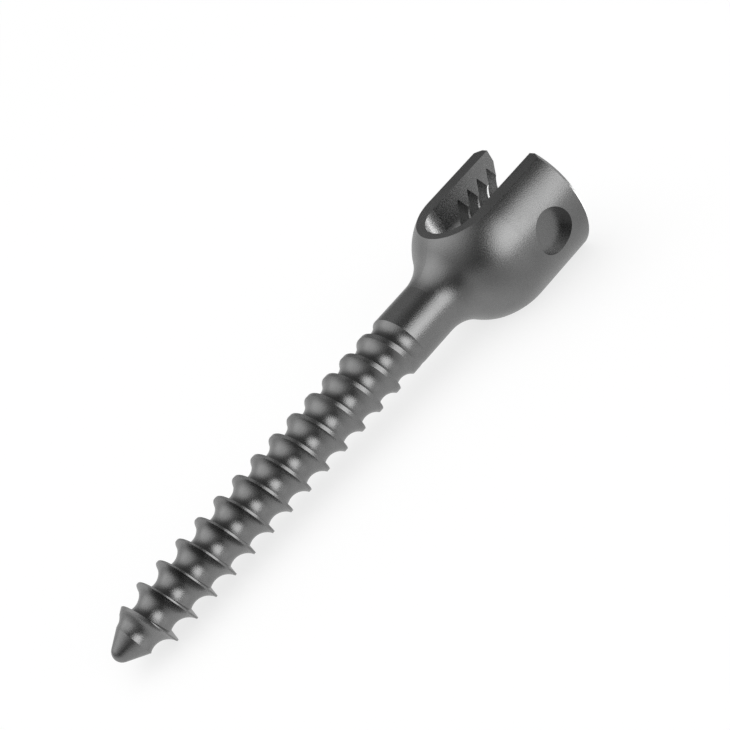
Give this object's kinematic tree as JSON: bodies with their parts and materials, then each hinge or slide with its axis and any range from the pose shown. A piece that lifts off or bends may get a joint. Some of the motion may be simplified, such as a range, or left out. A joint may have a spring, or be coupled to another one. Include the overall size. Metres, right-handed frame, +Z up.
{
  "type": "pedicle screw",
  "caption": "Fixed-head spinal bone screw with a coarse thread on a tapering core, a round bulb and a U-slotted head bored for a set screw.",
  "frame": {"origin": "centre of the seated rod, on the screw's axis", "axes": "+X from the tip towards the open end of the head, along the longest extent, with the screw's own axis rising 3.15 degrees above +X because the screw lies on its head flat and its last thread crest; +Y across the two arms; +Z up through the upper head flat, near the seated rod's axis"},
  "size_m": [0.0552, 0.013, 0.0104],
  "materials": {
    "blasted_titanium": "fine blasted, satin dark grey titanium alloy"
  },
  "bodies": {
    "root": {"pedicle_screw": "blasted_titanium"}
  },
  "joints": []
}
